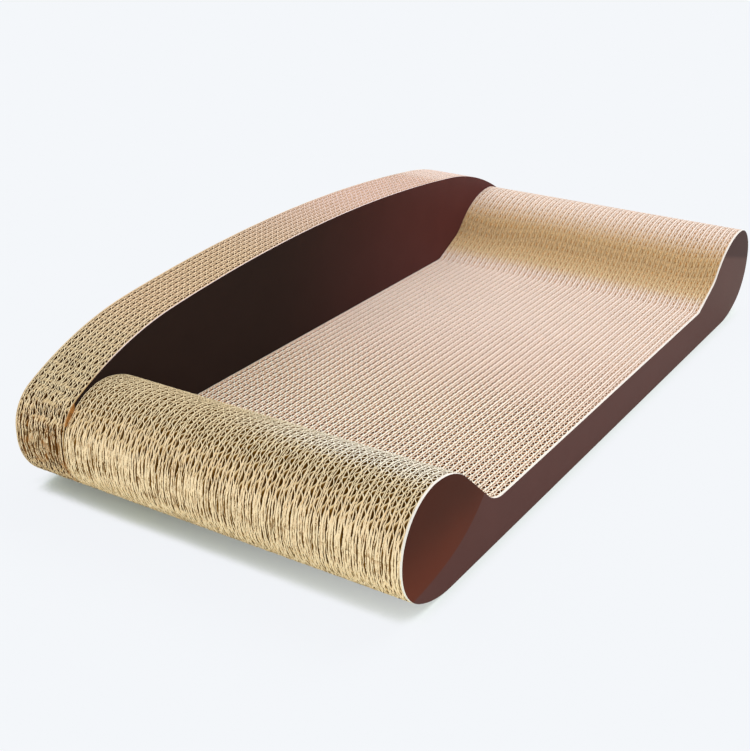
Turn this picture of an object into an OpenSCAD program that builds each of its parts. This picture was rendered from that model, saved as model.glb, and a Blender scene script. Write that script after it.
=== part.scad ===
// Cardboard cat scratcher: a lounge of die-cut double-wall corrugated boards, glued face to face.
// X runs along the length, from the round arm (-X) to the raised arm (+X).
// Y runs across the boards, from the printed front panel (-Y) to the backrest (+Y). Z is up.
// The origin is at the bottom centre of the whole object. All lengths are in millimetres.

/* [Overall] */
// Length over both arms
length = 590; // [540:5:680]
// Height of the backrest's arch
back_h = 114; // [108:1:150]

/* [Boards] */
// Number of boards in the seat block
seat_boards = 48; // [40:1:48]
// Number of boards in the backrest
back_boards = 8; // [5:1:8]
// Thickness of one double-wall board
board_t = 5; // [4:0.25:6.5]
// Thickness of the printed card on the front of the seat block
front_card_t = 1.5; // [1:0.25:2.5]
// Thickness of the printed card on each face of the backrest
back_card_t = 0.8; // [0.6:0.1:2]

/* [Seat] */
// Height of the flat seat above the floor
seat_h = 31; // [24:1:36]

/* [Ends] */
// Radius of the long curve under each end, next to the floor
sole_r = 76; // [50:1:90]
// Angle that the curve under each end turns through
sole_turn = 28.5; // [20:0.5:35]
// Radius of the tighter curve from there up to the upright edge
heel_r = 37; // [25:1:45]

/* [Round arm] */
// Height of the round arm
arm_h = 78; // [70:1:100]
// Radius of the round arm's upper end
arm_nose_r = 35; // [28:1:38]
// Radius of the round arm's crown, towards the seat
arm_crown_r = 53; // [36:1:60]
// Radius of the hollow between the slope and the seat
arm_hollow_r = 32; // [15:1:40]
// Steepness of the slope down to the seat, in degrees
arm_slope = 42; // [36:1:46]

/* [Raised arm] */
// Height of the raised arm
far_h = 76; // [73:0.5:90]
// Radius of the raised arm's tip
far_tip_r = 32; // [24:1:34]
// Radius of the roll from the arm's slope to its tip
far_roll_r = 67; // [50:1:70]
// Radius of the hollow between the lower and the upper slope
far_hollow_r = 30; // [20:1:40]
// Radius of the crease where the seat turns up
far_crease_r = 8; // [4:1:14]
// Steepness of the lower slope, in degrees
far_low_slope = 25; // [18:1:30]
// Steepness of the upper slope, in degrees
far_high_slope = 50; // [46:1:52]

/* [Backrest] */
// Half of the angle that the long crown turns through
crown_turn = 7; // [5:0.5:9]
// Radius of each shoulder
shoulder_r = 250; // [200:5:280]
// Angle that each shoulder turns through
shoulder_turn = 22; // [16:1:24]
// Radius of each end, from the shoulder down to the upright edge
back_end_r = 30; // [20:1:34]

/* [Hidden] */
// Largest angle and largest length of one facet on the curves of a board's outline
facet_angle = 6;
facet_len = 6;
quarter = 90;
full_turn = 360;
kraft = "#c9ad82";
brown_card = "#5a3a36";

function two_digits(n) = str(n < 10 ? "0" : "", n);
function seat_board_name(n) = str("seat_board_", two_digits(n));
function back_board_name(n) = str("back_board_", two_digits(n));

// Places across the depth
depth = front_card_t + (seat_boards + back_boards) * board_t + 2 * back_card_t;
front_y = -depth / 2;
seat_y = front_y + front_card_t;
inner_cover_y = seat_y + seat_boards * board_t;
back_y = inner_cover_y + back_card_t;
outer_cover_y = back_y + back_boards * board_t;

// Points of an arc about a centre, from one bearing to another, without its last point.
// A bearing is 0 towards +X and 90 towards +Z. An even number of facets gives the arc a point at its middle.
// The outlines run clockwise seen from the front: up the round arm, along the top, down the raised arm.
function facets(r, turn) = 2 * ceil(max(turn / facet_angle, r * PI * turn / (full_turn / 2) / facet_len) / 2);
function arc(centre, r, a, b) =
    let (steps = facets(r, abs(b - a)))
    [for (i = [0 : steps - 1]) centre + r * [cos(a + (b - a) * i / steps), sin(a + (b - a) * i / steps)]];

half = length / 2;

// Lower curve of an end, from the floor up to its upright edge, as wide as foot_w and as high as foot_h.
// Where an upright edge starts lower than that, the curve shrinks to the room below it.
foot_w = sole_r * sin(sole_turn) + heel_r * (1 - sin(sole_turn));
foot_h = sole_r * (1 - cos(sole_turn)) + heel_r * cos(sole_turn);
function foot_share(room) = min(1, room / foot_h);
function near_foot(k) = concat(
    arc([-half + k * foot_w, k * sole_r], k * sole_r, 3 * quarter, 3 * quarter - sole_turn),
    arc([-half + k * heel_r, k * foot_h], k * heel_r, 3 * quarter - sole_turn, 2 * quarter),
    [[-half, k * foot_h]]
);
function far_foot(k) = [for (p = near_foot(k)) [-p[0], p[1]]];
function reversed(points) = [for (i = [len(points) - 1 : -1 : 0]) points[i]];

// Round arm: height gained by its curves, and the straight slope that is left between them
arm_curves_h = (arm_crown_r + arm_hollow_r) * (1 - cos(arm_slope));
arm_straight = (arm_h - seat_h - arm_curves_h) / sin(arm_slope);
arm_nose = [-half + arm_nose_r, arm_h - arm_nose_r];
arm_crown = [-half + arm_nose_r, arm_h - arm_crown_r];
arm_slope_end = arm_crown + arm_crown_r * [sin(arm_slope), cos(arm_slope)]
    + arm_straight * [cos(arm_slope), -sin(arm_slope)];
arm_hollow = arm_slope_end + arm_hollow_r * [sin(arm_slope), cos(arm_slope)];

// Raised arm: height gained by its curves, and the lower slope that makes up the rest
far_curves_h = far_crease_r * (1 - cos(far_low_slope))
    + far_hollow_r * (cos(far_low_slope) - cos(far_high_slope))
    + far_roll_r * (1 - cos(far_high_slope));
far_low_run = (far_h - seat_h - far_curves_h) / sin(far_low_slope);
far_tip = [half - far_tip_r, far_h - far_tip_r];
far_roll = [half - far_tip_r, far_h - far_roll_r];
far_roll_start = far_roll + far_roll_r * [-sin(far_high_slope), cos(far_high_slope)];
far_hollow = far_roll_start + far_hollow_r * [-sin(far_high_slope), cos(far_high_slope)];
far_low_end = far_hollow + far_hollow_r * [sin(far_low_slope), -cos(far_low_slope)];
far_low_start = far_low_end - far_low_run * [cos(far_low_slope), sin(far_low_slope)];
far_crease = far_low_start + far_crease_r * [-sin(far_low_slope), cos(far_low_slope)];

seat_outline = concat(
    near_foot(foot_share(arm_nose[1])),
    arc(arm_nose, arm_nose_r, 2 * quarter, quarter),
    arc(arm_crown, arm_crown_r, quarter, quarter - arm_slope),
    arc(arm_hollow, arm_hollow_r, 3 * quarter - arm_slope, 3 * quarter),
    arc(far_crease, far_crease_r, 3 * quarter, 3 * quarter + far_low_slope),
    arc(far_hollow, far_hollow_r, 3 * quarter + far_low_slope, 3 * quarter + far_high_slope),
    arc(far_roll, far_roll_r, quarter + far_high_slope, quarter),
    arc(far_tip, far_tip_r, quarter, 0),
    reversed(far_foot(foot_share(far_tip[1])))
);

// Backrest: the crown's radius follows from the length that the shoulders and ends leave
end_turn = crown_turn + shoulder_turn;
crown_half = half - shoulder_r * (sin(end_turn) - sin(crown_turn)) - back_end_r * (1 - sin(end_turn));
crown_r = crown_half / sin(crown_turn);
crown_z = back_h - crown_r;
shoulder_x = (crown_r - shoulder_r) * sin(crown_turn);
shoulder_z = crown_z + (crown_r - shoulder_r) * cos(crown_turn);
back_end_x = shoulder_x + (shoulder_r - back_end_r) * sin(end_turn);
back_end_z = shoulder_z + (shoulder_r - back_end_r) * cos(end_turn);

back_outline = concat(
    near_foot(foot_share(back_end_z)),
    arc([-back_end_x, back_end_z], back_end_r, 2 * quarter, quarter + end_turn),
    arc([-shoulder_x, shoulder_z], shoulder_r, quarter + end_turn, quarter + crown_turn),
    arc([0, crown_z], crown_r, quarter + crown_turn, quarter - crown_turn),
    arc([shoulder_x, shoulder_z], shoulder_r, quarter - crown_turn, quarter - end_turn),
    arc([back_end_x, back_end_z], back_end_r, quarter - end_turn, 0),
    reversed(far_foot(foot_share(back_end_z)))
);

// A flat plate with the given outline, its front face at y
module plate(outline, y, t) {
    translate([0, y + t, 0])
        rotate([90, 0, 0])
            linear_extrude(height = t)
                polygon(outline);
}

// Printed and laminated card over the front of the seat block
module front_cover_panel() {
    color(brown_card)
        plate(seat_outline, front_y, front_card_t);
}

// One double-wall board of the seat block, counted from the front
module seat_board(n) {
    color(kraft)
        plate(seat_outline, seat_y + (n - 1) * board_t, board_t);
}

// Printed card on the backrest's inner face, held between the two blocks
module backrest_inner_cover() {
    color(brown_card)
        plate(back_outline, inner_cover_y, back_card_t);
}

// One double-wall board of the backrest, counted from the front
module back_board(n) {
    color(kraft)
        plate(back_outline, back_y + (n - 1) * board_t, board_t);
}

// Printed card on the backrest's rear face
module backrest_outer_cover() {
    color(brown_card)
        plate(back_outline, outer_cover_y, back_card_t);
}

front_cover_panel();
backrest_inner_cover();
backrest_outer_cover();
for (n = [1 : seat_boards])
    seat_board(n);
for (n = [1 : back_boards])
    back_board(n);
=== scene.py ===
"""Looks of a cardboard cat scratcher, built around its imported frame.

Each board of the frame is a solid plate. Here it becomes the paper that a double-wall board is made of:
three flat liners with a large and a small flute between them, each cut to the plate's own outline. The
printed card covers get their die-cut edges. Lengths are in metres, in the frame's own axes: X along the
length, Y across the boards, Z up.
"""

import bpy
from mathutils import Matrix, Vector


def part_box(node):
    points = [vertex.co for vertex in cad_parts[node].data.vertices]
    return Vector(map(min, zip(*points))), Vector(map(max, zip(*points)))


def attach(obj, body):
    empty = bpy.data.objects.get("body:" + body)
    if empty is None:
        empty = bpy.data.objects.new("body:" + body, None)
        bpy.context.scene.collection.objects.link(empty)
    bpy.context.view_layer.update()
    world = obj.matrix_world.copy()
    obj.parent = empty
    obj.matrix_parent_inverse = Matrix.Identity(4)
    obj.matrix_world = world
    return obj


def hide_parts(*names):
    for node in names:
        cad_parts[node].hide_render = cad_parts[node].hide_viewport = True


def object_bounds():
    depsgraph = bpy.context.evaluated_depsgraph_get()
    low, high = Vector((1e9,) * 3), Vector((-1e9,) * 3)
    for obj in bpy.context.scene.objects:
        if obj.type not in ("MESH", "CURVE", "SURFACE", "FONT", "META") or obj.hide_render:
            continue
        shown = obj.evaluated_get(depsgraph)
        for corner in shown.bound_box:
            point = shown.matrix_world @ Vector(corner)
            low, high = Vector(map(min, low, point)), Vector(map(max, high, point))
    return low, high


bl_info = {
    "name": "Cardboard Cat Scratcher",
    "version": (1, 0, 0),
    "blender": (4, 5, 0),
    "location": "3D View > Sidebar > Scratcher",
    "description": "Turns plain boards into fluted corrugated board with die-cut, printed card covers",
    "category": "Object",
}

import math
import random

import bmesh
import bpy
from bpy.props import FloatProperty, FloatVectorProperty, IntProperty, PointerProperty
from mathutils import Color, Matrix, Vector

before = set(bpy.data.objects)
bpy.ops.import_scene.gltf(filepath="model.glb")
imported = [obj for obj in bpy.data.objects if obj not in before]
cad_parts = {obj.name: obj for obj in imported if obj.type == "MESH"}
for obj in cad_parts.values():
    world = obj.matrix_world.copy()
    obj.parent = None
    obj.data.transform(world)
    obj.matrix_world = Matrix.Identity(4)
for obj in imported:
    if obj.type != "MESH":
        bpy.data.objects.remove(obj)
cad_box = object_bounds()

MM = 0.001
SEAT_BOARDS = sorted(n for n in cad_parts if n.startswith("seat_board_"))
BACK_BOARDS = sorted(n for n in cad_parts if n.startswith("back_board_"))

# Corners of a sheet's cross-section: front bottom, front top, back top, back bottom, and the first again
RING = 5
# How flat the flutes' crests are: 0 is a plain sine wave
CREST = 1.0
CREST_SCALE = math.sqrt(1 + CREST**2) / CREST
# Step from column to column of a fluted sheet, in waves of its flute
LARGE_STEP = 0.065
SMALL_STEP = 0.125
# Step between the seeds of a board's sheets, and how far a seed shifts its noise
LAYER_SEED = 0.377
SEED_MOVE = 3.7
# How many times over a board's phase counts at the near end
END_PHASE = 4.5
# Radius of the boards' upright ends
ROUND_END = 35 * MM
# Points closer than this are one
TOUCHING = 0.001 * MM
# How far from the ground the rays start that find a board's outline
RAY_START = 1.0
# Seat boards, counted from the rear, over which the tuck at the round arm fades out
TUCKED_BOARDS = 9
# Inputs of a board that the settings give
PAPER_SIZES = ("Liner Thickness", "Large Medium Thickness", "Small Medium Thickness", "Large Flute Height",
               "Large Flute Pitch", "Small Flute Pitch")
# Inputs that a board hands on to each of its sheets, with their defaults
BOARD_INPUTS = {
    "Middle": 0.0, "Half Length": 0.3, "Round End": ROUND_END, "Block Middle": 0.0, "Block Half Depth": 0.1,
    "Ragged": 0.0, "Sway": 0.0, "Crumple": 0.0, "Warp": 0.0, "Crush": 2.0, "Tuck": 0.0, "Phase": 0.0,
    "Drift": 1.0,
}

# Noise over a sheet, as its waves per metre along X, Y and Z, its detail, and whether each sheet has its
# own. A block wanders and its flutes drift over 45 to 110 mm. Creases are 7 to 17 mm long, bent sheets 11
# to 17 mm, and a torn edge wavers every 3 mm.
SHEET_NOISE = {
    "wander": ((9.0, 16.0, 14.0), 2.0, False),
    "drift": ((11.0, 22.0, 0.0), 0.0, False),
    "crumple": ((140.0, 60.0, 120.0), 2.0, False),
    "ragged": ((330.0, 0.0, 330.0), 2.0, True),
    "warp": ((60.0, 0.0, 90.0), 1.0, True),
}
# Middle of a noise that runs from 0 to 1
NOISE_MIDDLE = (0.5, 0.5, 0.5)
# How far creases push the paper along each axis
CREASE = (0.4, 1.7, 0.4)
# Way that a tucked board moves: back and down
TUCK_WAY = (0.7, 0.0, -0.7)

# Where a change sets in and where it is full, along an axis of the frame. These are at the round arm's end.
OUT_OF_STEP = ("X", -0.245, -0.285)
TORN = ("X", -0.200, -0.270)
CRUMPLED = (("X", -0.205, -0.275), ("Z", 0.100, 0.068))
SET_BACK = ("X", -0.262, -0.286)
TUCKED = (("X", -0.225, -0.280), ("Z", 0.056, 0.066))
STAINED = (("X", -0.262, -0.284), ("Y", 0.0985, 0.1005), ("Z", 0.072, 0.052))
SMEARED = (("X", -0.2828, -0.2840), ("Y", 0.110, 0.106))
CORE_TURNS_BROWN = ("X", -0.235, -0.275)
# The joint of the two blocks, the backrest's inner cover, its boards, and its outer cover
AT_JOINT = ("Y", 0.108, 0.100)
FROM_INNER_COVER = ("Y", 0.0985, 0.0995)
BACKREST = ("Y", 0.100, 0.101)
FROM_OUTER_COVER = ("Y", 0.130, 0.135)
# Parts of the object whose papers differ in tone, partly their own and partly painted light and shade
AT_RAISED_ARM = ("X", 0.150, 0.185)
ZONES = {
    "seat": (("X", -0.222, -0.200), ("Z", 0.040, 0.033)),
    "far": (("X", -0.130, 0.080),),
    "raised arm": (AT_RAISED_ARM, ("Z", 0.0315, 0.047)),
    "crest": (AT_RAISED_ARM, ("Z", 0.058, 0.077)),
    "front": (("Y", 0.020, -0.090),),
    "backrest": (BACKREST,),
    "arch": (("X", -0.265, -0.180), BACKREST),
}
# The same for a cut's slant, which is the height of its normal: the die shuts the papers' edges as the
# outline turns upright, below and above
SHUT_BELOW = (0.98, 0.50)
SHUT_ABOVE = (0.50, 0.24)
# Depth under a cut over which a paper turns from its lit tone to its deep one, which is painted shade
PAINTED_SHADE_DEPTH = (0.05 * MM, 0.55 * MM)

# Level direction of the painted light that falls in from the front and the near end
TO_FRONT = (-0.85, -0.53, 0.0)

# Grain of the finishes, as spots per metre. Kraft's fibres clump over 2.5 mm, its torn ones over 3.3 mm and
# the film's grain over 1.1 mm. All three are drawn about three times as coarse as they are, so that they
# show. Ink clouds over 22 mm, the rear card over 83 mm, and glue lies in blots of 3 to 8 mm.
FIBRES = 400.0
TORN_FIBRES = 300.0
FILM_GRAIN = 900.0
INK_CLOUDS = 45.0
REAR_CLOUDS = 12.0
GLUE_BLOTS = (200.0, 240.0, 130.0)
SMEAR_BLOTS = 380.0

# Border of the front's redder field, a painted reflection: it rises from its base along an exponential curve
SWEEP_X = -0.2054
SWEEP_RUN = 30 * MM
SWEEP_RISE = 28.7 * MM
SWEEP_BASE = 12 * MM
SWEEP_BORDER = (-0.8 * MM, 1.2 * MM)
# Border of the darker field at the raised arm's tip: its fall along X, and its height where X is 0
TIP_FALL = 0.302
TIP_BORDER = (0.1295, 0.1345)

FLOOR_REACH = 20.0
# How far round a point of the floor the object takes light from it, and how open the floor's points are
# from the darkest to the plain part of the shadow
SHADOW_REACH = 18 * MM
OPENNESS = (0.52, 0.77)
# The shadow's lift grows from behind to before the front cover
LIFT_Y = (0.060, -0.130)
# Bearing, height angle and roll of the camera, in degrees, and its place from the middle of the front
# panel's lower edge: fitted to the outlines in the photograph
CAMERA_AZIMUTH = -58.13
CAMERA_ELEVATION = 24.43
CAMERA_ROLL = 0.53
CAMERA_PLACE = (-0.7826, -0.2853, 0.4101)
SENSOR_WIDTH = 36.0

# Kinds of node that go by a short name: each one's node type, and the setting that makes it
KINDS = {
    "MIX": ("ShaderNodeMix", {"data_type": "FLOAT"}),
    "MIX_COLOUR": ("ShaderNodeMix", {"data_type": "RGBA"}),
    "SMOOTH_RANGE": ("ShaderNodeMapRange", {"interpolation_type": "SMOOTHSTEP"}),
}
for operation in ("ADD", "SUBTRACT", "MULTIPLY", "DIVIDE", "MULTIPLY_ADD", "MINIMUM", "MAXIMUM",
                  "ABSOLUTE", "SIGN", "FLOOR", "ROUND", "MODULO", "SQRT", "EXPONENT", "SINE", "COSINE",
                  "GREATER_THAN", "COMPARE"):
    KINDS[operation] = ("ShaderNodeMath", {"operation": operation})
for operation in ("ADD", "SUBTRACT", "MULTIPLY", "SCALE", "DOT_PRODUCT"):
    KINDS[f"VECTOR_{operation}"] = ("ShaderNodeVectorMath", {"operation": operation})


def linear(hex_colour):
    """An sRGB hex colour as the linear red, green and blue that a material takes."""
    channels = [int(hex_colour[i : i + 2], 16) / 255 for i in (1, 3, 5)]
    return tuple(c / 12.92 if c <= 0.04045 else ((c + 0.055) / 1.055) ** 2.4 for c in channels)


def feed(tree, socket, value):
    """Sets an input to a value, or links an output to it. A node stands for its first output in use."""
    if isinstance(value, bpy.types.Node):
        value = next(o for o in value.outputs if o.enabled)
    if isinstance(value, bpy.types.NodeSocket):
        tree.links.new(value, socket)
    elif isinstance(value, Color):
        socket.default_value = (*value, 1.0)
    elif value is not None:
        socket.default_value = value


def add(tree, kind, *values, named=None, **settings):
    """Adds a node. values feed its inputs in use in their order, and named ones by their names."""
    node_type, own_settings = KINDS.get(kind, (kind, {}))
    node = tree.nodes.new(node_type)
    for key, value in (own_settings | settings).items():
        setattr(node, key, value)
    in_use = [socket for socket in node.inputs if socket.enabled]
    for socket, value in zip(in_use, values):
        feed(tree, socket, value)
    for name, value in (named or {}).items():
        feed(tree, node.inputs[name], value)
    return node


def within(tree, axes, edges, least=0.0):
    """How far a point is past all the given edges, each from least to 1. axes gives its place."""
    share = 1.0
    for axis, start, full in edges:
        past = add(tree, "SMOOTH_RANGE", axes[axis], start, full, least, 1.0)
        share = add(tree, "MULTIPLY", share, past)
    return share


# What like properties have in common
COLOUR = {"size": 3, "min": 0, "max": 1, "subtype": "COLOR"}
LENGTH = {"unit": "LENGTH", "precision": 5}
PAPER = {"min": 0.1 * MM, "max": 0.8 * MM, **LENGTH}
SHARE = {"min": 0, "max": 1, "subtype": "FACTOR"}


class BoardSettings(bpy.types.PropertyGroup):
    """Sizes and colours of the corrugated board."""

    liner_thickness: FloatProperty(
        name="Liner Thickness", description="Thickness of each flat paper of a board",
        default=0.45 * MM, **PAPER)
    large_medium_thickness: FloatProperty(
        name="Large Medium Thickness", description="Thickness of the large flute's paper",
        default=0.45 * MM, **PAPER)
    small_medium_thickness: FloatProperty(
        name="Small Medium Thickness", description="Thickness of the small flute's paper",
        default=0.28 * MM, **PAPER)
    large_flute_height: FloatProperty(
        name="Large Flute Height", description="Gap that the large flute fills between two liners",
        default=2.36 * MM, min=1 * MM, max=4 * MM, **LENGTH)
    large_flute_pitch: FloatProperty(
        name="Large Flute Pitch", description="Length of one wave of the large flute",
        default=6.4 * MM, min=4 * MM, max=10 * MM, **LENGTH)
    small_flute_pitch: FloatProperty(
        name="Small Flute Pitch", description="Length of one wave of the small flute",
        default=3.5 * MM, min=2 * MM, max=6 * MM, **LENGTH)
    ragged: FloatProperty(
        name="Ragged Cut", description="How far the die pushed the papers' cut edges out of line",
        default=0.5 * MM, min=0, max=1 * MM, **LENGTH)
    sway: FloatProperty(
        name="Sway", description="How far the glued boards wander from straight",
        default=0.5 * MM, min=0, max=2 * MM, **LENGTH)
    tuck: FloatProperty(
        name="Tuck", description="How far the rearmost seat boards sit back at the round arm",
        default=2.0 * MM, min=0, max=6 * MM, **LENGTH)
    seed: IntProperty(
        name="Seed", description="Start of the random shifts of the flutes", default=7, min=0)
    kraft_colour: FloatVectorProperty(
        name="Kraft", description="Papers' faces beside the cut, on the round arm and the ends",
        default=linear("#e6c998"), **COLOUR)
    # Painted shade: faces further down inside the flutes are darker
    deep_colour: FloatVectorProperty(
        name="Deep Kraft", description="Papers' faces further down inside the flutes",
        default=linear("#80581c"), **COLOUR)
    seat_kraft_colour: FloatVectorProperty(
        name="Seat Kraft", description="Papers' faces beside the cut on the flat seat",
        default=linear("#ffb872"), **COLOUR)
    # Painted shade inside the seat's flutes
    seat_deep_colour: FloatVectorProperty(
        name="Seat Deep Kraft", description="Faces inside the flutes of the flat seat, redder",
        default=linear("#6e2a00"), **COLOUR)
    # Painted light: towards the raised arm the papers, also inside the flutes, are pale enough to offset
    # their real shade
    far_kraft_colour: FloatVectorProperty(
        name="Far Kraft", description="Papers' faces beside the cut towards the raised arm",
        default=linear("#ffeede"), **COLOUR)
    far_deep_colour: FloatVectorProperty(
        name="Far Deep Kraft", description="Faces inside the flutes towards the raised arm",
        default=linear("#f4d6b4"), **COLOUR)
    back_kraft_colour: FloatVectorProperty(
        name="Backrest Kraft", description="Papers' faces beside the cut on the backrest",
        default=linear("#deb488"), **COLOUR)
    # Painted shade inside the backrest's flutes
    back_deep_colour: FloatVectorProperty(
        name="Backrest Deep Kraft", description="Faces inside the flutes of the backrest's near half",
        default=linear("#5e380c"), **COLOUR)
    slope_colour: FloatVectorProperty(
        name="Slope", description="Papers on the raised arm's slope, which lies in its own shade",
        default=linear("#d6b688"), **COLOUR)
    # Painted light: a paler tone inside the slope's flutes offsets their real shade
    slope_deep_colour: FloatVectorProperty(
        name="Slope Deep Kraft", description="Faces inside the flutes of the raised arm's slope",
        default=linear("#fcdca6"), **COLOUR)
    edge_colour: FloatVectorProperty(
        name="Cut Edge", description="Cut edges on the sloping faces",
        default=linear("#eedab0"), **COLOUR)
    end_edge_colour: FloatVectorProperty(
        name="Crushed Edge", description="Cut edges on the upright ends, where the die pressed them shut",
        default=linear("#ffe4ba"), **COLOUR)
    # Painted light on the cut edges that face up
    edge_top_colour: FloatVectorProperty(
        name="Cut Edge on Top", description="Cut edges that face up, paler",
        default=linear("#fff7e2"), **COLOUR)
    far_edge_top_colour: FloatVectorProperty(
        name="Far Cut Edge on Top", description="The same edges towards the raised arm, pinker",
        default=linear("#fff0e4"), **COLOUR)
    far_flute_colour: FloatVectorProperty(
        name="Far Flute Edge", description="The flutes' edges there, duller than the liners'",
        default=linear("#e8cab8"), **COLOUR)
    back_edge_colour: FloatVectorProperty(
        name="Backrest Cut Edge", description="Cut edges of the backrest, browner than the seat's",
        default=linear("#f4d6ae"), **COLOUR)
    crown_colour: FloatVectorProperty(
        name="Crown Cut Edge", description="Cut edges of the backrest's far half",
        default=linear("#ebd2ca"), **COLOUR)
    glue_colour: FloatVectorProperty(
        name="Glue Stain", description="Colour of the glue that soaked into the paper",
        default=linear("#b87c40"), **COLOUR)


class CardSettings(bpy.types.PropertyGroup):
    """Sizes and colours of the printed card covers."""

    print_colour: FloatVectorProperty(
        name="Print", description="Brown of the front cover", default=linear("#583531"), **COLOUR)
    # Painted reflection of the shaded floor: a redder, darker brown towards the round arm
    reflected_shadow_print_colour: FloatVectorProperty(
        name="Painted Reflection", description="Redder brown towards the round arm",
        default=linear("#602a1a"), **COLOUR)
    tip_print_colour: FloatVectorProperty(
        name="Tip Print", description="Darker brown of the front cover over the raised arm's tip",
        default=linear("#411d1c"), **COLOUR)
    # Painted shade: the inner cover's brown, darkest at the near end
    shaded_inner_print_colour: FloatVectorProperty(
        name="Inner Print", description="Darker brown of the backrest's inner cover",
        default=linear("#2b1f1b"), **COLOUR)
    far_print_colour: FloatVectorProperty(
        name="Far Print", description="Redder brown of the inner cover towards the raised arm",
        default=linear("#5d3330"), **COLOUR)
    edge_colour: FloatVectorProperty(
        name="Card Edge", description="Pale core of the card where the die cut it",
        default=linear("#f0e8de"), **COLOUR)
    end_core_colour: FloatVectorProperty(
        name="Card Core at the End", description="Inner cover's cut core beside the round arm",
        default=linear("#b08c58"), **COLOUR)
    bevel: FloatProperty(
        name="Edge Radius", description="Rounding that the die leaves on the card's printed side",
        default=0.45 * MM, min=0, max=1 * MM, **LENGTH)


class StageSettings(bpy.types.PropertyGroup):
    """Floor, light and camera."""

    floor_colour: FloatVectorProperty(
        name="Floor", description="Pale bluish white of the studio floor",
        default=linear("#f4f6fa"), **COLOUR)
    shadow_colour: FloatVectorProperty(
        name="Shaded Floor", description="The floor where it lies in shadow",
        default=linear("#e8f3ea"), **COLOUR)
    floor_lift: FloatProperty(
        name="Floor Lift", description="Share of the floor's plain colour that shows through its shadows",
        default=0.10, **SHARE)
    front_lift: FloatProperty(
        name="Front Lift", description="The same share before the front cover, where the shadow is lighter",
        default=0.45, **SHARE)
    sky_strength: FloatProperty(
        name="Sky Strength", description="Even light from all round", default=0.83, min=0, max=4)
    key_strength: FloatProperty(
        name="Key Strength", description="Soft key light from above the raised arm",
        default=1.5, min=0, max=10)
    fill_strength: FloatProperty(
        name="Fill Strength", description="Softer light from low before the round arm",
        default=0.72, min=0, max=10)
    lens: FloatProperty(
        name="Lens", description="Focal length on a 36 mm sensor, in millimetres",
        default=61.2, min=10, max=300, unit="CAMERA")


def tree_with(name, inputs):
    """A node group with the given inputs, each a number that is its default, or else a socket type."""
    tree = bpy.data.node_groups.new(name, "GeometryNodeTree")
    for socket_name, default in inputs.items():
        is_type = isinstance(default, str)
        kind = default if is_type else "NodeSocketFloat"
        socket = tree.interface.new_socket(socket_name, in_out="INPUT", socket_type=kind)
        if not is_type:
            socket.default_value = default
    tree.interface.new_socket("Geometry", in_out="OUTPUT", socket_type="NodeSocketGeometry")
    return tree


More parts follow.
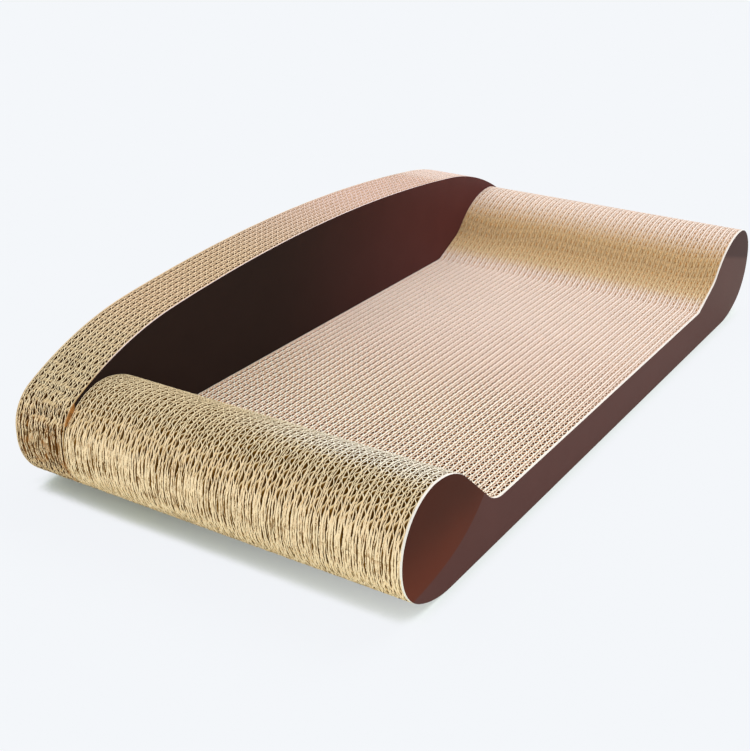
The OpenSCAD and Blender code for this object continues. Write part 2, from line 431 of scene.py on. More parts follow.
def paper_sheet_tree():
    """One sheet of paper that stands in the board's outline: flat, or fluted where it has a wave height."""
    tree = tree_with("Paper Sheet", {
        "Outline": "NodeSocketGeometry", "Y": 0.0, "Thickness": 0.3 * MM, "Wave Height": 0.0,
        "Pitch": 6.5 * MM, "Step": 1 * MM, "Seed": 0.0, **BOARD_INPUTS})
    given = add(tree, "NodeGroupInput").outputs

    # Columns stand along the outline, so they crowd together where it turns down at the two round ends
    straight = add(tree, "SUBTRACT", given["Half Length"], given["Round End"])
    reach = add(tree, "MULTIPLY_ADD", given["Round End"], math.pi / 2, straight)
    columns = add(tree, "DIVIDE", reach, given["Step"])
    columns = add(tree, "MULTIPLY_ADD", columns, 2.0, 2.0)
    columns = add(tree, "ROUND", columns)
    grid = add(tree, "GeometryNodeMeshGrid", named={"Vertices X": columns, "Vertices Y": RING})
    index = add(tree, "GeometryNodeInputIndex")
    column = add(tree, "DIVIDE", index, RING)
    column = add(tree, "FLOOR", column)
    corner = add(tree, "MODULO", index, RING)
    last = add(tree, "SUBTRACT", columns, 1.0)
    share = add(tree, "DIVIDE", column, last)
    along = add(tree, "SUBTRACT", share, 0.5)
    side = add(tree, "SIGN", along)
    along = add(tree, "ABSOLUTE", along)
    along = add(tree, "MULTIPLY", along, 2.0)
    is_end = add(tree, "GREATER_THAN", along, 0.99999)
    along = add(tree, "MULTIPLY", along, reach)
    turned = add(tree, "SUBTRACT", along, straight)
    turned = add(tree, "MAXIMUM", turned, 0.0)
    turned = add(tree, "DIVIDE", turned, given["Round End"])
    turned = add(tree, "SINE", turned)
    flat_run = add(tree, "MINIMUM", along, straight)
    run = add(tree, "MULTIPLY_ADD", turned, given["Round End"], flat_run)
    x = add(tree, "MULTIPLY_ADD", run, side, given["Middle"])
    ray_x = add(tree, "SUBTRACT", given["Half Length"], 0.02 * MM)
    ray_x = add(tree, "MINIMUM", run, ray_x)
    ray_x = add(tree, "MULTIPLY_ADD", ray_x, side, given["Middle"])

    # The outline's height and foot at each column, found by a ray from above and one from below
    heights = []
    slants = []
    for fall in (-1.0, 1.0):
        source = add(tree, "ShaderNodeCombineXYZ", ray_x, given["Y"], -fall * RAY_START)
        ray = add(tree, "GeometryNodeRaycast", named={
            "Target Geometry": given["Outline"], "Source Position": source,
            "Ray Direction": (0.0, 0.0, fall), "Ray Length": 2 * RAY_START})
        hit = add(tree, "ShaderNodeSeparateXYZ", ray.outputs["Hit Position"])
        heights.append(hit.outputs["Z"])
        slant = add(tree, "ShaderNodeSeparateXYZ", ray.outputs["Hit Normal"])
        slants.append(add(tree, "ABSOLUTE", slant.outputs["Z"]))
    middle = add(tree, "ADD", *heights)
    middle = add(tree, "MULTIPLY", middle, 0.5)
    top, foot = [add(tree, "MIX", is_end, height, middle) for height in heights]
    # Corners 1 and 2 are above, and 2 and 3 behind
    is_top = add(tree, "COMPARE", corner, 1.5, 0.6)
    is_back = add(tree, "COMPARE", corner, 2.5, 0.6)
    z = add(tree, "MIX", is_top, foot, top)

    # Noise that is the same on both faces of a sheet, so that its thickness stays
    place = add(tree, "ShaderNodeCombineXYZ", x, given["Y"], z)
    own_place = add(tree, "MULTIPLY", given["Seed"], SEED_MOVE)
    own_place = add(tree, "ShaderNodeCombineXYZ", 0.0, own_place, 0.0)
    noise = {}
    for name, (waves, detail, is_own) in SHEET_NOISE.items():
        stretched = add(tree, "VECTOR_MULTIPLY", place, waves)
        if is_own:
            stretched = add(tree, "VECTOR_ADD", stretched, own_place)
        noise[name] = add(tree, "ShaderNodeTexNoise", stretched, 1.0, detail)
    wander = add(tree, "SUBTRACT", noise["wander"], 0.5)
    warp = add(tree, "SUBTRACT", noise["warp"], 0.5)
    crumple = add(tree, "VECTOR_SUBTRACT", noise["crumple"].outputs["Color"], NOISE_MIDDLE)
    crumple = add(tree, "VECTOR_MULTIPLY", crumple, CREASE)
    ragged = add(tree, "VECTOR_SUBTRACT", noise["ragged"].outputs["Color"], NOISE_MIDDLE)

    # The die spreads the papers' edges where it cuts along the flutes, at the upright ends and under them
    unevenness = add(tree, "MULTIPLY_ADD", wander, 0.4, given["Phase"])
    spread = []
    for slant, shuts in zip(slants, (SHUT_ABOVE, SHUT_BELOW)):
        slant = add(tree, "ADD", slant, unevenness)
        spread.append(add(tree, "SMOOTH_RANGE", slant, *shuts, 1.0, given["Crush"]))
    spread = add(tree, "MIX", is_top, spread[1], spread[0])
    thickness = add(tree, "MULTIPLY", given["Thickness"], spread)

    # How deep a point lies under the board's top and over its foot, measured square to the cut
    under_top = add(tree, "SUBTRACT", top, z)
    under_top = add(tree, "MULTIPLY", under_top, slants[0])
    over_foot = add(tree, "SUBTRACT", z, foot)
    over_foot = add(tree, "MULTIPLY", over_foot, slants[1])

    # The wave, its slope, and the sheet's thickness square to it. Boards fall out of step at the near end.
    out_of_step = within(tree, {"X": x}, [OUT_OF_STEP])
    out_of_step = add(tree, "MULTIPLY_ADD", out_of_step, END_PHASE - 1, 1.0)
    waves = add(tree, "DIVIDE", x, given["Pitch"])
    waves = add(tree, "MULTIPLY_ADD", out_of_step, given["Phase"], waves)
    waves = add(tree, "MULTIPLY_ADD", noise["drift"], given["Drift"], waves)
    angle = add(tree, "MULTIPLY", waves, 2 * math.pi)
    amplitude = add(tree, "MULTIPLY", given["Wave Height"], 0.5 * CREST_SCALE)
    amplitude = add(tree, "DIVIDE", amplitude, spread)
    rise = add(tree, "SINE", angle)
    rise = add(tree, "MULTIPLY", rise, CREST)
    square = add(tree, "MULTIPLY_ADD", rise, rise, 1.0)
    root = add(tree, "SQRT", square)
    bend = add(tree, "DIVIDE", rise, root)
    bend = add(tree, "MULTIPLY", bend, amplitude)
    slope = add(tree, "COSINE", angle)
    slope = add(tree, "MULTIPLY", slope, amplitude)
    for divisor in (root, square, given["Pitch"]):
        slope = add(tree, "DIVIDE", slope, divisor)
    slope = add(tree, "MULTIPLY", slope, 2 * math.pi * CREST)
    stretch = add(tree, "MULTIPLY_ADD", slope, slope, 1.0)
    stretch = add(tree, "SQRT", stretch)
    face = add(tree, "SUBTRACT", is_back, 0.5)
    face = add(tree, "MULTIPLY", face, thickness)
    face = add(tree, "DIVIDE", face, stretch)
    face_x = add(tree, "MULTIPLY", face, slope)
    x = add(tree, "SUBTRACT", x, face_x)
    y = add(tree, "ADD", given["Y"], bend)
    y = add(tree, "ADD", y, face)
    y = add(tree, "MULTIPLY_ADD", wander, given["Sway"], y)
    place = add(tree, "ShaderNodeCombineXYZ", x, y, z)

    # The cut edges waver, most at the near end
    axes = {"X": x, "Z": z}
    torn = within(tree, axes, [TORN])
    torn = add(tree, "ADD", torn, 0.22)
    torn = add(tree, "MULTIPLY", torn, given["Ragged"])
    ragged = add(tree, "VECTOR_SCALE", ragged, torn)

    # Near the end the sheets are creased and bent, less so beside the covers that hold them
    from_cover = add(tree, "SUBTRACT", given["Y"], given["Block Middle"])
    from_cover = add(tree, "ABSOLUTE", from_cover)
    from_cover = add(tree, "SUBTRACT", given["Block Half Depth"], from_cover)
    loose = add(tree, "SMOOTH_RANGE", from_cover, 0.5 * MM, 8 * MM, 0.05, 1.0)
    at_end = within(tree, axes, CRUMPLED, 0.15)
    at_end = add(tree, "MULTIPLY", at_end, loose)
    crumpled = add(tree, "MULTIPLY", at_end, given["Crumple"])
    crumple = add(tree, "VECTOR_SCALE", crumple, crumpled)
    warped = add(tree, "MULTIPLY", at_end, given["Warp"])
    warped = add(tree, "MULTIPLY", warped, warp)
    warp = add(tree, "ShaderNodeCombineXYZ", 0.0, warped, 0.0)

    # On the upright near end some papers lie a little back
    tint = add(tree, "FunctionNodeRandomValue", named={"Seed": given["Seed"], "ID": 0}, data_type="FLOAT")
    set_back = add(tree, "ShaderNodeMapRange", tint, 0.0, 0.3, 0.5 * MM, 0.0)
    at_end = within(tree, axes, [SET_BACK])
    set_back = add(tree, "MULTIPLY", at_end, set_back)
    set_back = add(tree, "ShaderNodeCombineXYZ", set_back, 0.0, 0.0)

    # A tucked board sits back at the upper half of its near end
    tuck = within(tree, axes, TUCKED)
    tuck = add(tree, "MULTIPLY", tuck, given["Tuck"])
    tuck = add(tree, "VECTOR_SCALE", TUCK_WAY, tuck)
    for shift in (ragged, crumple, warp, set_back, tuck):
        place = add(tree, "VECTOR_ADD", place, shift)
    sheet = add(tree, "GeometryNodeSetPosition", grid, named={"Position": place})

    # What the materials read of a sheet. Faces 1 and 3 of each column are its cut edges, above and below.
    is_cut = add(tree, "MODULO", index, 2.0)
    is_fluted = add(tree, "GREATER_THAN", given["Wave Height"], 0.0)
    kept = (
        ("cut", is_cut, "FACE"), ("under_top", under_top, "POINT"), ("over_foot", over_foot, "POINT"),
        ("slant", slants[0], "POINT"), ("fluted", is_fluted, "POINT"), ("tint", tint, "FACE"),
    )
    for name, value, domain in kept:
        sheet = add(tree, "GeometryNodeStoreNamedAttribute", sheet, None, name, value,
                    data_type="FLOAT", domain=domain)
    sheet = add(tree, "GeometryNodeMergeByDistance", sheet, named={"Distance": TOUCHING})
    add(tree, "NodeGroupOutput", sheet)
    return tree


def double_wall_board_tree(sheet_tree):
    """A board: liner, large flute, liner, small flute and liner, from its front face to its back."""
    tree = tree_with("Double-Wall Board", {
        "Board": "NodeSocketObject", "Front": 0.0, "Board Thickness": 5 * MM, "Liner Step": 2.5 * MM,
        "Seed": 0.0, **dict.fromkeys(PAPER_SIZES, 1 * MM), **BOARD_INPUTS,
        "Kraft": "NodeSocketMaterial", "Cut Edge": "NodeSocketMaterial"})
    given = add(tree, "NodeGroupInput").outputs
    outline = add(tree, "GeometryNodeObjectInfo", named={"Object": given["Board"]}).outputs["Geometry"]
    liner = given["Liner Thickness"]
    large = given["Large Flute Height"]
    # What the liners and the large flute leave is the small flute's gap
    small = add(tree, "MULTIPLY_ADD", liner, -3.0, given["Board Thickness"])
    small = add(tree, "SUBTRACT", small, large)
    large_step = add(tree, "MULTIPLY", given["Large Flute Pitch"], LARGE_STEP)
    small_step = add(tree, "MULTIPLY", given["Small Flute Pitch"], SMALL_STEP)
    flat = (None, liner, 1.0, given["Liner Step"])
    large_wave = (large, given["Large Medium Thickness"], given["Large Flute Pitch"], large_step)
    small_wave = (small, given["Small Medium Thickness"], given["Small Flute Pitch"], small_step)
    y = given["Front"]
    layers = []
    for n, (gap, thickness, pitch, step) in enumerate((flat, large_wave, flat, small_wave, flat)):
        depth = liner if gap is None else gap
        centre = add(tree, "MULTIPLY_ADD", depth, 0.5, y)
        y = add(tree, "ADD", y, depth)
        wave = 0.0 if gap is None else add(tree, "SUBTRACT", gap, thickness)
        seed = add(tree, "ADD", given["Seed"], LAYER_SEED * n)
        layers.append(add(tree, "GeometryNodeGroup", node_tree=sheet_tree, named={
            "Outline": outline, "Y": centre, "Thickness": thickness, "Wave Height": wave, "Pitch": pitch,
            "Step": step, "Seed": seed, **{name: given[name] for name in BOARD_INPUTS}}))
    joined = add(tree, "GeometryNodeJoinGeometry")
    for layer in layers:
        feed(tree, joined.inputs[0], layer)
    board = add(tree, "GeometryNodeRealizeInstances", joined)
    board = add(tree, "GeometryNodeSetMaterial", board, None, given["Kraft"])
    cut = add(tree, "GeometryNodeInputNamedAttribute", named={"Name": "cut"}, data_type="FLOAT")
    is_cut = add(tree, "FunctionNodeCompare", cut, 0.5, data_type="FLOAT", operation="GREATER_THAN")
    board = add(tree, "GeometryNodeSetMaterial", board, is_cut, given["Cut Edge"])
    add(tree, "NodeGroupOutput", board)
    return tree


def from_tree(name, tree, values):
    """A plain mesh object made by a Geometry Nodes tree, whose inputs are set by their identifiers."""
    piece = bpy.data.objects.new(name, bpy.data.meshes.new(name))
    bpy.context.scene.collection.objects.link(piece)
    modifier = piece.modifiers.new(tree.name, "NODES")
    modifier.node_group = tree
    sockets = {s.name: s.identifier for s in tree.interface.items_tree if s.in_out == "INPUT"}
    for socket, value in values.items():
        modifier[sockets[socket]] = value
    graph = bpy.context.evaluated_depsgraph_get()
    mesh = bpy.data.meshes.new_from_object(
        piece.evaluated_get(graph), preserve_all_data_layers=True, depsgraph=graph)
    piece.modifiers.remove(modifier)
    empty = piece.data
    piece.data = mesh
    bpy.data.meshes.remove(empty)
    mesh.name = name
    # The evaluated mesh's first slot is empty
    if mesh.materials[0] is None:
        mesh.materials.pop(index=0)
    return piece


def material(name, roughness, specular):
    """A new material, its tree and shader, and a point's place on the surface, whole and axis by axis."""
    made = bpy.data.materials.new(name)
    made.use_nodes = True
    tree = made.node_tree
    shader = tree.nodes["Principled BSDF"]
    shader.inputs["Roughness"].default_value = roughness
    shader.inputs["Specular IOR Level"].default_value = specular
    place = add(tree, "ShaderNodeTexCoord").outputs["Object"]
    return made, tree, shader, place, add(tree, "ShaderNodeSeparateXYZ", place).outputs


def glue_stain(tree, place, axes, most):
    """How much glue soaked in: blots over the backrest's near end, thickest along the joint with the seat."""
    seam = within(tree, axes, [AT_JOINT])
    blots = add(tree, "VECTOR_MULTIPLY", place, GLUE_BLOTS)
    blots = add(tree, "ShaderNodeTexNoise", blots, 1.0, 3.0)
    blots = add(tree, "MULTIPLY_ADD", seam, 0.08, blots)
    blots = add(tree, "SMOOTH_RANGE", blots, 0.50, 0.66, 0.15, 1.0)
    stained = within(tree, axes, STAINED)
    stained = add(tree, "MULTIPLY", stained, blots)
    return add(tree, "MULTIPLY", stained, most)


def glue_smear(tree, place, axes):
    """The glue where the two blocks meet at the near end: a streak under the gap's tip, and blots."""
    streak = add(tree, "SMOOTH_RANGE", axes["Z"], 0.056, 0.060, 0.0, 0.5)
    blots = add(tree, "ShaderNodeTexNoise", place, SMEAR_BLOTS, 2.0)
    blots = add(tree, "ADD", blots, streak)
    blots = add(tree, "ShaderNodeMapRange", blots, 0.58, 1.15)
    smeared = within(tree, axes, SMEARED)
    return add(tree, "MULTIPLY", smeared, blots)


def kraft_paper():
    """Unbleached kraft paper, machine finished: tan, quite matt, darkened with painted shade inside the
    flutes.
    """
    settings = bpy.context.scene.scratcher_board
    made, tree, shader, place, axes = material("Kraft Paper", roughness=0.85, specular=0.06)
    zone = {name: within(tree, axes, edges) for name, edges in ZONES.items()}
    tint, under_top, over_foot, slant = [
        add(tree, "ShaderNodeAttribute", attribute_name=name).outputs["Fac"]
        for name in ("tint", "under_top", "over_foot", "slant")
    ]
    fibres = add(tree, "ShaderNodeTexNoise", place, FIBRES, 3.0)
    shade = add(tree, "MULTIPLY_ADD", tint, 0.16, 0.84)
    shade = add(tree, "MULTIPLY_ADD", fibres, 0.16, shade)

    # Painted light from the front reaches further down the faces that look there
    normal = add(tree, "ShaderNodeNewGeometry").outputs["Normal"]
    lit = add(tree, "VECTOR_DOT_PRODUCT", normal, TO_FRONT)
    lit = add(tree, "SMOOTH_RANGE", lit, 0.70, 0.95)
    is_open = add(tree, "SMOOTH_RANGE", slant, 0.3, 0.6)
    lit = add(tree, "MULTIPLY", lit, is_open)
    strength = add(tree, "MULTIPLY_ADD", zone["backrest"], 0.78, 0.22)
    lit = add(tree, "MULTIPLY", lit, strength)
    # Painted light also reaches further down on the seat and the raised arm, most towards the raised arm
    bright = add(tree, "MULTIPLY_ADD", zone["far"], 0.18, 0.34)
    seat_or_arm = add(tree, "MAXIMUM", zone["seat"], zone["raised arm"])
    bright = add(tree, "MULTIPLY", bright, seat_or_arm)
    # They are paler where the seat block's ends turn down, but not where they stand upright
    turning = add(tree, "SMOOTH_RANGE", slant, 0.88, 0.60)
    leaning = add(tree, "SMOOTH_RANGE", slant, 0.25, 0.50)
    paler = add(tree, "MULTIPLY", turning, leaning)
    in_seat = add(tree, "SUBTRACT", 1.0, zone["backrest"])
    paler = add(tree, "MULTIPLY", paler, in_seat)

    # All of that moves the depth at which a paper turns from its lit tone beside the cut to its painted-shade
    # deep one
    depth = add(tree, "MINIMUM", under_top, over_foot)
    for share, shift in ((fibres, 0.5 * MM), (lit, -1.2 * MM), (bright, -1.0 * MM), (paler, -0.5 * MM)):
        depth = add(tree, "MULTIPLY_ADD", share, shift, depth)
    inside = add(tree, "SMOOTH_RANGE", depth, *PAINTED_SHADE_DEPTH)
    seat = add(tree, "MIX_COLOUR", zone["far"], settings.seat_kraft_colour, settings.far_kraft_colour)
    beside = settings.kraft_colour
    deep = settings.deep_colour
    for part, tone in (("arch", settings.back_kraft_colour), ("seat", seat),
                       ("raised arm", settings.slope_colour), ("crest", settings.far_kraft_colour)):
        beside = add(tree, "MIX_COLOUR", zone[part], beside, tone)
    # Deep tones: painted shade inside the flutes, and painted light where they are pale
    for part, tone in (("backrest", settings.back_deep_colour), ("seat", settings.seat_deep_colour),
                       ("far", settings.far_deep_colour), ("raised arm", settings.slope_deep_colour),
                       ("crest", settings.far_deep_colour)):
        deep = add(tree, "MIX_COLOUR", zone[part], deep, tone)
    colour = add(tree, "MIX_COLOUR", inside, beside, deep)
    stain = glue_stain(tree, place, axes, 0.6)
    colour = add(tree, "MIX_COLOUR", stain, colour, settings.glue_colour)
    colour = add(tree, "VECTOR_SCALE", colour, shade)
    feed(tree, shader.inputs["Base Color"], colour)
    return made


def cut_kraft_edge():
    """Kraft paper's die-cut edge: torn fibres, paler than the paper's faces, with painted light where they
    face up.
    """
    settings = bpy.context.scene.scratcher_board
    made, tree, shader, place, axes = material("Die-Cut Kraft Edge", roughness=0.9, specular=0.12)
    zone = {name: within(tree, axes, edges) for name, edges in ZONES.items()}
    tint, fluted = [
        add(tree, "ShaderNodeAttribute", attribute_name=name).outputs["Fac"] for name in ("tint", "fluted")
    ]
    fibres = add(tree, "ShaderNodeTexNoise", place, TORN_FIBRES, 2.0)
    shade = add(tree, "MULTIPLY_ADD", fibres, 0.24, 0.88)
    normal = add(tree, "ShaderNodeNewGeometry").outputs["Normal"]
    leans = add(tree, "ShaderNodeSeparateXYZ", normal).outputs
    level = add(tree, "ABSOLUTE", leans["Z"])
    steep = add(tree, "SMOOTH_RANGE", level, 0.90, 0.60)
    upright = add(tree, "SMOOTH_RANGE", level, 0.55, 0.25)
    back = add(tree, "MIX_COLOUR", zone["far"], settings.back_edge_colour, settings.crown_colour)
    side = settings.edge_colour
    for share, tone in ((steep, settings.end_edge_colour), (zone["raised arm"], settings.slope_colour),
                        (zone["arch"], back)):
        side = add(tree, "MIX_COLOUR", share, side, tone)

    # Painted light: edges that face up are pale on the seat, the raised arm's crest and the front of the
    # round arm's slope
    past_crest = add(tree, "SMOOTH_RANGE", leans["X"], -0.25, 0.05)
    seat_block = add(tree, "MULTIPLY_ADD", zone["backrest"], -0.7, 1.0)
    top = add(tree, "SMOOTH_RANGE", leans["Z"], 0.6, 0.9)
    for operation, share in (("MULTIPLY", past_crest), ("MULTIPLY", zone["front"]),
                             ("MAXIMUM", zone["seat"]), ("MAXIMUM", zone["crest"]),
                             ("MULTIPLY", seat_block)):
        top = add(tree, operation, top, share)
    duller = add(tree, "MULTIPLY", fluted, zone["far"])
    pale = add(tree, "MIX_COLOUR", zone["far"], settings.edge_top_colour, settings.far_edge_top_colour)
    pale = add(tree, "MIX_COLOUR", duller, pale, settings.far_flute_colour)
    colour = add(tree, "MIX_COLOUR", top, side, pale)

    # On the upright ends some papers lie a little back, browned by the glue beside them and darkened with
    # painted shade
    browned = add(tree, "ShaderNodeMapRange", tint, 0.0, 0.3, 0.4, 0.0)
    browned = add(tree, "MULTIPLY", browned, upright)
    for stain in (browned, glue_stain(tree, place, axes, 0.35)):
        colour = add(tree, "MIX_COLOUR", stain, colour, settings.glue_colour)
    colour = add(tree, "VECTOR_SCALE", colour, shade)
    feed(tree, shader.inputs["Base Color"], colour)
    return made


def make_boards(nodes, tucked, crumple, warp, crush, drift, liner_step):
    """Replaces each board's plate by its liners and flutes. tucked makes the last few of them sit back."""
    settings = bpy.context.scene.scratcher_board
    board_tree = bpy.data.node_groups.get("Double-Wall Board") or double_wall_board_tree(paper_sheet_tree())
    kraft = bpy.data.materials.get("Kraft Paper") or kraft_paper()
    edge = bpy.data.materials.get("Die-Cut Kraft Edge") or cut_kraft_edge()
    chance = random.Random(settings.seed)
    block_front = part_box(nodes[0])[0].y
    block_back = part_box(nodes[-1])[1].y
    for n, node in enumerate(nodes):
        low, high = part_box(node)
        share = max(0.0, 1 - (len(nodes) - 1 - n) / TUCKED_BOARDS) if tucked else 0.0
        # Noise reaches half a unit either way, so what it scales is doubled
        piece = from_tree(f"{node}_papers", board_tree, {
            "Board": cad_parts[node], "Front": low.y, "Board Thickness": high.y - low.y,
            "Middle": (low.x + high.x) / 2, "Half Length": (high.x - low.x) / 2, "Round End": ROUND_END,
            "Block Middle": (block_front + block_back) / 2,
            "Block Half Depth": (block_back - block_front) / 2,
            "Ragged": settings.ragged * 2, "Sway": settings.sway * 2, "Crumple": crumple * 2,
            "Warp": warp * 2, "Crush": crush, "Tuck": settings.tuck * share * share,
            "Phase": chance.uniform(-0.07, 0.07), "Drift": drift, "Liner Step": liner_step,
            "Seed": chance.uniform(0.0, 100.0), "Kraft": kraft, "Cut Edge": edge,
            **{size: getattr(settings, size.lower().replace(" ", "_")) for size in PAPER_SIZES},
        })
        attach(piece, "root")
        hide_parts(node)


class MakeSeatBoards(bpy.types.Operator):
    """Builds the papers of the seat block's boards"""

    bl_idname = "scratcher.make_seat_boards"
    bl_label = "Seat Boards"

    def execute(self, context):
        make_boards(
            SEAT_BOARDS, tucked=True, crumple=0.0, warp=0.8 * MM, crush=2.0, drift=3.0, liner_step=2.5 * MM)
        return {"FINISHED"}


class MakeBackBoards(bpy.types.Operator):
    """Builds the papers of the backrest's boards"""

    bl_idname = "scratcher.make_back_boards"
    bl_label = "Backrest Boards"

    def execute(self, context):
        make_boards(
            BACK_BOARDS, tucked=False, crumple=2.2 * MM, warp=1.3 * MM, crush=1.0, drift=0.8,
            liner_step=1.2 * MM)
        return {"FINISHED"}


def printed_card(name, colour_of):
    """Card with offset print under a film: even brown, low gloss. colour_of gives the print's colour with its
    painted light.
    """
    made, tree, shader, place, axes = material(name, roughness=0.36, specular=0.02)
    grain = add(tree, "ShaderNodeTexNoise", place, FILM_GRAIN, 2.0)
    ink = add(tree, "ShaderNodeTexNoise", place, INK_CLOUDS, 3.0)
    ink = add(tree, "MULTIPLY_ADD", ink, 0.16, 0.92)
    colour = add(tree, "VECTOR_SCALE", colour_of(tree, place, axes), ink)
    feed(tree, shader.inputs["Base Color"], colour)
    relief = add(tree, "ShaderNodeBump", named={"Strength": 0.05, "Distance": 0.1 * MM, "Height": grain})
    feed(tree, shader.inputs["Normal"], relief)
    return made


def front_print_and_reflection(tree, place, axes):
    """Brown, with a painted reflection over the round arm: a redder field whose lower border sweeps down to
    the sole.
    """
    settings = bpy.context.scene.scratcher_card
    sweep = add(tree, "SUBTRACT", axes["X"], SWEEP_X)
    sweep = add(tree, "DIVIDE", sweep, SWEEP_RUN)
    sweep = add(tree, "EXPONENT", sweep)
    sweep = add(tree, "MULTIPLY_ADD", sweep, SWEEP_RISE, SWEEP_BASE)
    over = add(tree, "SUBTRACT", axes["Z"], sweep)
    warm = add(tree, "SMOOTH_RANGE", over, *SWEEP_BORDER)
    # The painted reflection darkens towards its top
    shade = add(tree, "SMOOTH_RANGE", axes["Z"], 0.015, 0.062)
    shade = add(tree, "MULTIPLY_ADD", shade, -0.46, 1.0)
    reflected_shadow_print = add(tree, "VECTOR_SCALE", tuple(settings.reflected_shadow_print_colour), shade)
    # Over the raised arm's tip it ends in a darker field, whose border falls outwards
    tip = add(tree, "MULTIPLY_ADD", axes["X"], TIP_FALL, axes["Z"])
    tip = add(tree, "SMOOTH_RANGE", tip, *TIP_BORDER)
    colour = add(tree, "MIX_COLOUR", warm, settings.print_colour, reflected_shadow_print)
    return add(tree, "MIX_COLOUR", tip, colour, settings.tip_print_colour)


def inner_print_and_shade(tree, place, axes):
    """Brown darkened by painted shade, most at the near end, that turns redder along the backrest, with glue
    at the near end.
    """
    settings = bpy.context.scene.scratcher_card
    # The painted shade lifts towards the raised arm
    along = add(tree, "SMOOTH_RANGE", axes["X"], -0.10, 0.27)
    colour = add(tree, "MIX_COLOUR", along, settings.shaded_inner_print_colour, settings.far_print_colour)
    glue_colour = bpy.context.scene.scratcher_board.glue_colour
    return add(tree, "MIX_COLOUR", glue_smear(tree, place, axes), colour, glue_colour)


def outer_print(tree, place, axes):
    """The same brown as the front's, all over."""
    settings = bpy.context.scene.scratcher_card
    cloud = add(tree, "ShaderNodeTexNoise", place, REAR_CLOUDS, 2.0)
    return add(tree, "MIX_COLOUR", cloud, settings.print_colour, settings.far_print_colour)


def card_edge():
    """The card's pale grey-white core where the die cut through it, browned by glue at the near end."""
    settings = bpy.context.scene.scratcher_card
    board = bpy.context.scene.scratcher_board
    made, tree, shader, place, axes = material("Die-Cut Card Edge", roughness=0.9, specular=0.5)
    brown_core = within(tree, axes, [CORE_TURNS_BROWN])
    inner_core = add(tree, "MIX_COLOUR", brown_core, board.crown_colour, settings.end_core_colour)
    inner = within(tree, axes, [FROM_INNER_COVER])
    outer = within(tree, axes, [FROM_OUTER_COVER])
    smear = add(tree, "MULTIPLY", glue_smear(tree, place, axes), inner)
    colour = settings.edge_colour
    for share, tone in ((inner, inner_core), (outer, board.slope_colour), (smear, board.glue_colour)):
        colour = add(tree, "MIX_COLOUR", share, colour, tone)
    feed(tree, shader.inputs["Base Color"], colour)
    return made


def make_cover(node, print_material, printed_side):
    """A cover's card: the plate's own outline, rounded by the die on its printed side, with its cut edge."""
    settings = bpy.context.scene.scratcher_card
    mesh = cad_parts[node].data.copy()
    mesh.name = f"{node}_card"
    mesh.materials.clear()
    mesh.materials.append(print_material)
    mesh.materials.append(bpy.data.materials.get("Die-Cut Card Edge") or card_edge())
    low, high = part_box(node)
    face_y = low.y if printed_side < 0 else high.y
    card = bmesh.new()
    card.from_mesh(mesh)
    bmesh.ops.remove_doubles(card, verts=card.verts, dist=TOUCHING)
    bmesh.ops.dissolve_limit(card, angle_limit=math.radians(0.5), verts=card.verts, edges=card.edges)
    rim = [e for e in card.edges if all(abs(v.co.y - face_y) < 0.01 * MM for v in e.verts)]
    bmesh.ops.bevel(
        card, geom=rim, offset=min(settings.bevel, (high.y - low.y) / 3), segments=2, profile=0.5,
        affect="EDGES")
    card.normal_update()
    for face in card.faces:
        face.material_index = 0 if abs(face.normal.y) > 0.6 else 1
    card.to_mesh(mesh)
    card.free()
    piece = bpy.data.objects.new(f"{node}_card", mesh)
    bpy.context.scene.collection.objects.link(piece)
    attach(piece, "root")
    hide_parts(node)


class MakeFrontCover(bpy.types.Operator):
    """Builds the printed card on the front of the seat block"""

    bl_idname = "scratcher.make_front_cover"
    bl_label = "Front Cover"

    def execute(self, context):
        make_cover("front_cover_panel", printed_card("Front Printed Card and Painted Reflection", front_print_and_reflection), -1)
        return {"FINISHED"}


class MakeBackCovers(bpy.types.Operator):
    """Builds the printed cards on both faces of the backrest"""

    bl_idname = "scratcher.make_back_covers"
    bl_label = "Backrest Covers"

    def execute(self, context):
        make_cover("backrest_inner_cover", printed_card("Inner Printed Card and Painted Shade", inner_print_and_shade), -1)
        make_cover("backrest_outer_cover", printed_card("Outer Printed Card", outer_print), 1)
        return {"FINISHED"}


def lay_floor(settings):
    """A level floor, matt, on which the object's shadow stays light."""
    mesh = bpy.data.meshes.new("studio_floor")
    corners = [(x * FLOOR_REACH, y * FLOOR_REACH, 0) for x, y in ((-1, -1), (1, -1), (1, 1), (-1, 1))]
    mesh.from_pydata(corners, [], [(0, 1, 2, 3)])
    floor = bpy.data.objects.new("studio_floor", mesh)
    bpy.context.scene.collection.objects.link(floor)
    paint, tree, shader, _, axes = material("Studio Floor Paint", roughness=1.0, specular=0.0)
    feed(tree, shader.inputs["Base Color"], settings.shadow_colour)
    # Part of what the camera sees of the floor is its plain colour, which keeps the shadows on it light
    is_seen = add(tree, "ShaderNodeLightPath").outputs["Is Camera Ray"]
    open_air = add(tree, "ShaderNodeAmbientOcclusion", named={"Distance": SHADOW_REACH}, samples=8)
    open_air = add(tree, "SMOOTH_RANGE", open_air.outputs["AO"], *OPENNESS)
    least = add(tree, "ShaderNodeMapRange", axes["Y"], *LIFT_Y, settings.floor_lift, settings.front_lift)
    lift = add(tree, "ShaderNodeMapRange", open_air, 0.0, 1.0, least, 0.95)
    seen = add(tree, "MULTIPLY", is_seen, lift)
    plain = add(tree, "ShaderNodeEmission", settings.floor_colour, 1.0)
    lifted = add(tree, "ShaderNodeMixShader", seen, shader, plain)
    feed(tree, tree.nodes["Material Output"].inputs["Surface"], lifted)
    mesh.materials.append(paint)


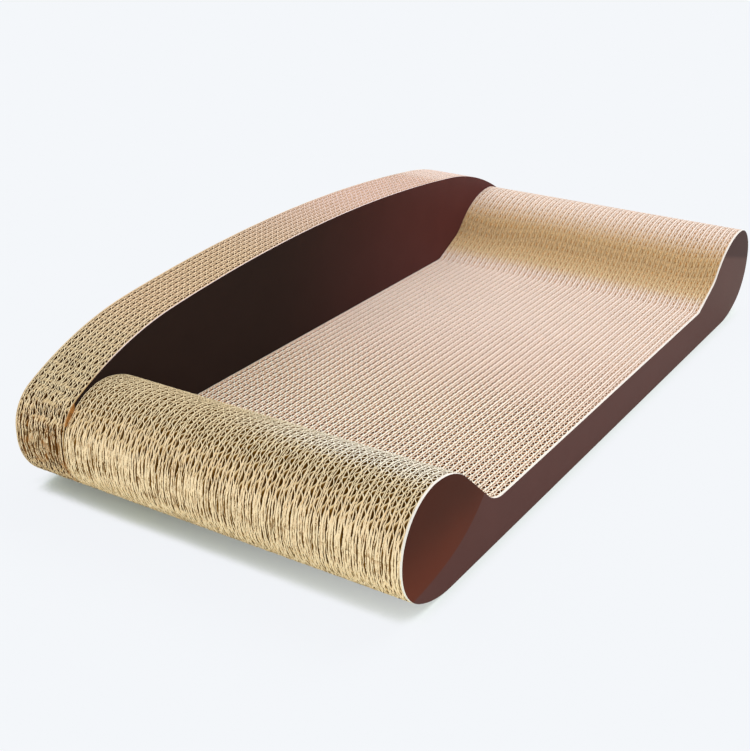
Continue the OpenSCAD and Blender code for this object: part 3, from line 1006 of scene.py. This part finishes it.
def set_light(settings):
    """Even light from all round, and two soft lamps."""
    scene = bpy.context.scene
    scene.world = bpy.data.worlds.new("Studio")
    scene.world.use_nodes = True
    tree = scene.world.node_tree
    sky = tree.nodes["Background"]
    is_seen = add(tree, "ShaderNodeLightPath").outputs["Is Camera Ray"]
    strength = add(tree, "ShaderNodeMapRange", is_seen, 0.0, 1.0, settings.sky_strength, 1.0)
    feed(tree, sky.inputs["Color"], settings.floor_colour)
    feed(tree, sky.inputs["Strength"], strength)
    # Each lamp's strength, its spread in degrees, and where it stands
    lamps = {
        "soft_key": (settings.key_strength, 30, (0.85, -0.25, 1.0)),
        "soft_fill": (settings.fill_strength, 45, (-0.90, -0.38, 0.24)),
    }
    for name, (energy, spread, towards) in lamps.items():
        light = bpy.data.lights.new(name, "SUN")
        light.energy = energy
        light.angle = math.radians(spread)
        lamp = bpy.data.objects.new(name, light)
        lamp.rotation_mode = "QUATERNION"
        lamp.rotation_quaternion = Vector(towards).to_track_quat("Z", "Y")
        scene.collection.objects.link(lamp)


def place_camera(settings):
    """The camera, as the photograph was taken."""
    scene = bpy.context.scene
    azimuth = math.radians(CAMERA_AZIMUTH)
    elevation = math.radians(CAMERA_ELEVATION)
    roll = math.radians(CAMERA_ROLL)
    camera = bpy.data.objects.new("camera", bpy.data.cameras.new("camera"))
    camera.data.sensor_width = SENSOR_WIDTH
    camera.data.sensor_fit = "HORIZONTAL"
    camera.data.lens = settings.lens
    back = Vector((math.sin(azimuth) * math.cos(elevation), -math.cos(azimuth) * math.cos(elevation),
                   math.sin(elevation)))
    turn = back.to_track_quat("Z", "Y").to_matrix().to_4x4() @ Matrix.Rotation(roll, 4, "Z")
    place = Vector(CAMERA_PLACE) + Vector((0.0, cad_box[0].y, 0.0))
    camera.matrix_world = Matrix.Translation(place) @ turn
    scene.collection.objects.link(camera)
    scene.camera = camera


class MakeStage(bpy.types.Operator):
    """Lays the floor, sets the light and places the camera"""

    bl_idname = "scratcher.make_stage"
    bl_label = "Stage"

    def execute(self, context):
        context.scene.view_settings.view_transform = "Standard"
        for part in (lay_floor, set_light, place_camera):
            part(context.scene.scratcher_stage)
        return {"FINISHED"}


class ScratcherPanel(bpy.types.Panel):
    """Lists the pieces of the scratcher in the sidebar"""

    bl_label = "Cardboard Cat Scratcher"
    bl_idname = "VIEW3D_PT_scratcher"
    bl_space_type = "VIEW_3D"
    bl_region_type = "UI"
    bl_category = "Scratcher"

    def draw(self, context):
        for maker in MAKERS:
            self.layout.operator(maker.bl_idname)


SETTINGS = {
    "scratcher_board": BoardSettings, "scratcher_card": CardSettings, "scratcher_stage": StageSettings}
MAKERS = (MakeStage, MakeSeatBoards, MakeBackBoards, MakeFrontCover, MakeBackCovers)


def register():
    """Adds the settings, the operators and the panel to Blender."""
    for made in (*SETTINGS.values(), *MAKERS, ScratcherPanel):
        bpy.utils.register_class(made)
    for name, group in SETTINGS.items():
        setattr(bpy.types.Scene, name, PointerProperty(type=group))


def unregister():
    """Takes them out again."""
    for name in SETTINGS:
        delattr(bpy.types.Scene, name)
    for made in (ScratcherPanel, *reversed(MAKERS), *reversed(SETTINGS.values())):
        bpy.utils.unregister_class(made)


def main():
    """Builds everything in order."""
    register()
    for maker in MAKERS:
        group, name = maker.bl_idname.split(".")
        getattr(getattr(bpy.ops, group), name)()


if __name__ == "__main__":
    main()
